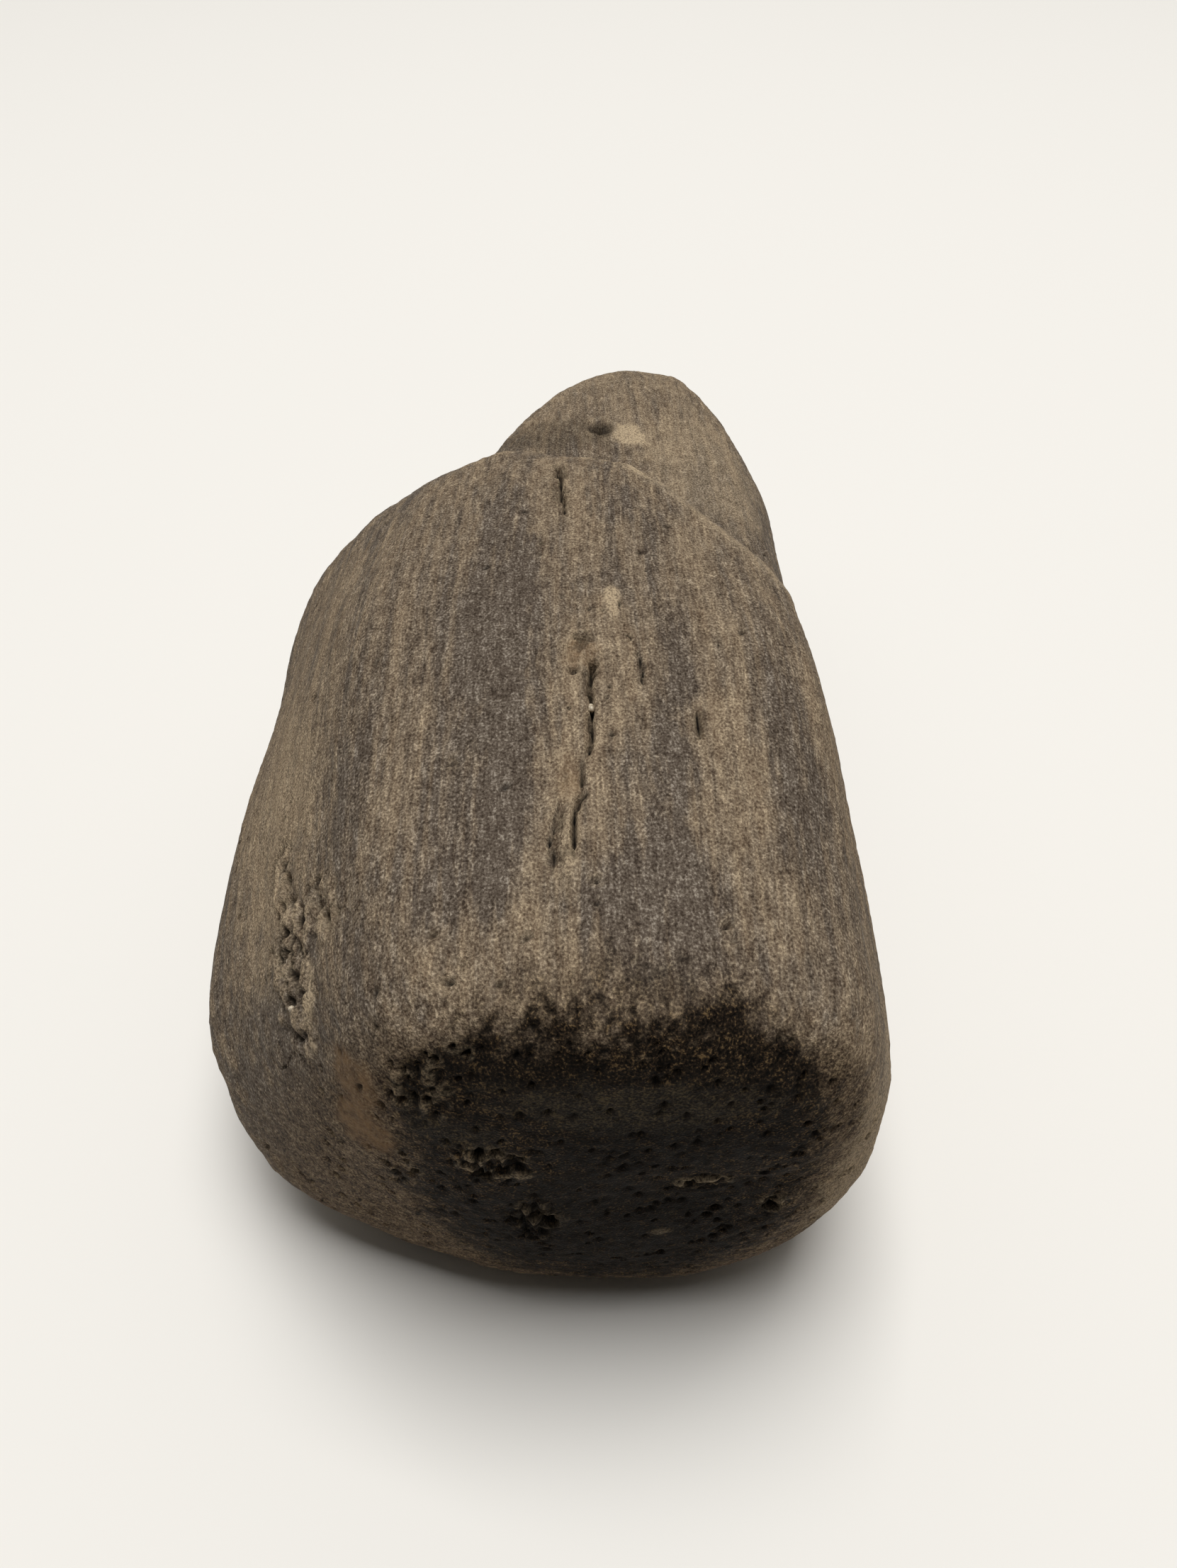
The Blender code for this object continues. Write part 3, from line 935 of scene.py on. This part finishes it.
add_node(grains, "ShaderNodeOutputMaterial", {}, {"Surface": surface.outputs[0]})
sand_mesh.materials.append(quartz)
print("sand clouds are", CLOUD_SIZE, "mm wide")

# %% [markdown]
# ## The table, the light and the camera
#
# A plain pale card lies under the stone. Most of the light comes from one
# large soft lamp almost straight above, with a dim glow from the room
# behind, so the blunt end falls into shade and the stone's foot has a dark,
# soft shadow.

# %% A plain pale card
CARD_SIDE = 1.4
bpy.ops.mesh.primitive_plane_add(size=CARD_SIDE, location=(0, 0, 0))
floor = bpy.context.object
floor.name = "pale_card"
paper = bpy.data.materials.new("white_card")
paper.use_nodes = True
card = paper.node_tree.nodes["Principled BSDF"]
card.inputs["Base Color"].default_value = linear("#f0ede7")
card.inputs["Roughness"].default_value = 0.8
card.inputs["Specular IOR Level"].default_value = 0.2
floor.data.materials.append(paper)
print("card side in metres:", round(floor.dimensions.x, 1))

# %% A room that is brighter overhead and behind
world = bpy.data.worlds.new("pale_room")
bpy.context.scene.world = world
world.use_nodes = True
air = world.node_tree
air.nodes.clear()
heading = add_node(air, "ShaderNodeTexCoord").outputs["Generated"]
toward = add_node(air, "ShaderNodeSeparateXYZ", {}, {0: heading})
DIMMEST_GLOW = 0.04
BRIGHTEST_GLOW = 0.45
settings = {"From Min": 0.4, "From Max": 0.65, "To Min": DIMMEST_GLOW, "To Max": BRIGHTEST_GLOW}
upward = add_node(air, "ShaderNodeMapRange", settings, {"Value": toward.outputs["Z"]}).outputs["Result"]
settings = {"From Min": -0.3, "From Max": 0.1, "To Min": 0.08, "To Max": 1.0}
backward = add_node(air, "ShaderNodeMapRange", settings, {"Value": toward.outputs["Y"]}).outputs["Result"]
glow = add_node(air, "ShaderNodeMath", {"operation": "MULTIPLY"}, {0: upward, 1: backward}).outputs[0]
print("brightest part of the room:", BRIGHTEST_GLOW)

# %% Light from the room, and the plain wall the camera sees
lit = add_node(air, "ShaderNodeBackground", {"Color": linear("#fffdf8")}, {"Strength": glow})
wall = add_node(air, "ShaderNodeBackground", {"Color": linear("#f2efe8"), "Strength": 0.95})
seen = add_node(air, "ShaderNodeLightPath").outputs["Is Camera Ray"]
either = {0: seen, 1: lit.outputs[0], 2: wall.outputs[0]}
either = add_node(air, "ShaderNodeMixShader", {}, either)
add_node(air, "ShaderNodeOutputWorld", {}, {"Surface": either.outputs[0]})
print("nodes in the room:", len(air.nodes))

# %% One large soft lamp overhead
LAMP_PLACE = Vector((0.05, 0.13, 1.6))
LAMP_SIDE = 0.85
LAMP_WATTS = 23.8
lamp = bpy.data.lights.new("overhead_light", "AREA")
lamp.energy = LAMP_WATTS
lamp.size = LAMP_SIDE
box = bpy.data.objects.new("overhead_light", lamp)
bpy.context.scene.collection.objects.link(box)
box.location = LAMP_PLACE
box.rotation_euler = (Vector((0, 0, 0.02)) - LAMP_PLACE).to_track_quat("-Z", "Y").to_euler()
box.visible_camera = False
print("the lamp spans", round(math.degrees(2 * math.atan(LAMP_SIDE / 2 / LAMP_PLACE.z))), "degrees")

# %% The camera
LENS = 26.0
LOOK_DOWN = 46.0
TURN = -1.0
CAMERA_PLACE = (0.0028, -0.0806, 0.0899)
lens = bpy.data.cameras.new("camera")
lens.sensor_width = 36.0
lens.lens = LENS
lens.clip_start = 0.005
camera = bpy.data.objects.new("camera", lens)
bpy.context.scene.collection.objects.link(camera)
camera.location = CAMERA_PLACE
camera.rotation_euler = (math.radians(90 - LOOK_DOWN), 0, math.radians(TURN))
bpy.context.scene.camera = camera
bpy.context.scene.view_settings.view_transform = "Standard"
print("the camera looks down by", LOOK_DOWN, "degrees")
